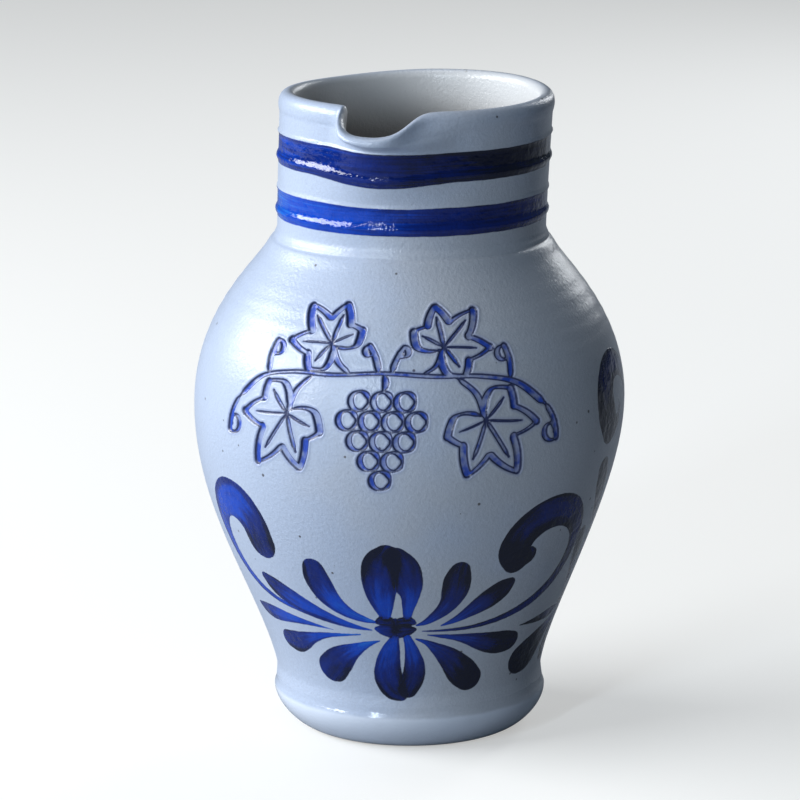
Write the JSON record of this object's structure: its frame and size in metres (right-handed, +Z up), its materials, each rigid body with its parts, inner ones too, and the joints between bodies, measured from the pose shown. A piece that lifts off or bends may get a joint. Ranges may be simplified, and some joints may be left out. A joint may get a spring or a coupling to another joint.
{
  "type": "stoneware wine jug",
  "caption": "Baluster jug of salt-glazed stoneware with a wide cylindrical neck, a pinched pouring lip and a pulled strap handle; holds and pours wine, juice or water.",
  "frame": {"origin": "centre of the flat base, on the surface that the jug stands on", "axes": "+Z up along the axis the jug was thrown round; -Y towards the pouring lip; +Y towards the handle; +X to the left of the lip as seen from the handle's side, to the right as seen from the lip's side"},
  "size_m": [0.161, 0.1797, 0.24],
  "materials": {
    "salt_glazed_stoneware": "light blue-grey salt glaze, satin to glossy, with a fine orange-peel skin"
  },
  "bodies": {
    "root": {"thrown_body": "salt_glazed_stoneware", "strap_handle": "salt_glazed_stoneware", "upper_luting_coil": "salt_glazed_stoneware", "lower_luting_coil": "salt_glazed_stoneware"}
  },
  "joints": []
}
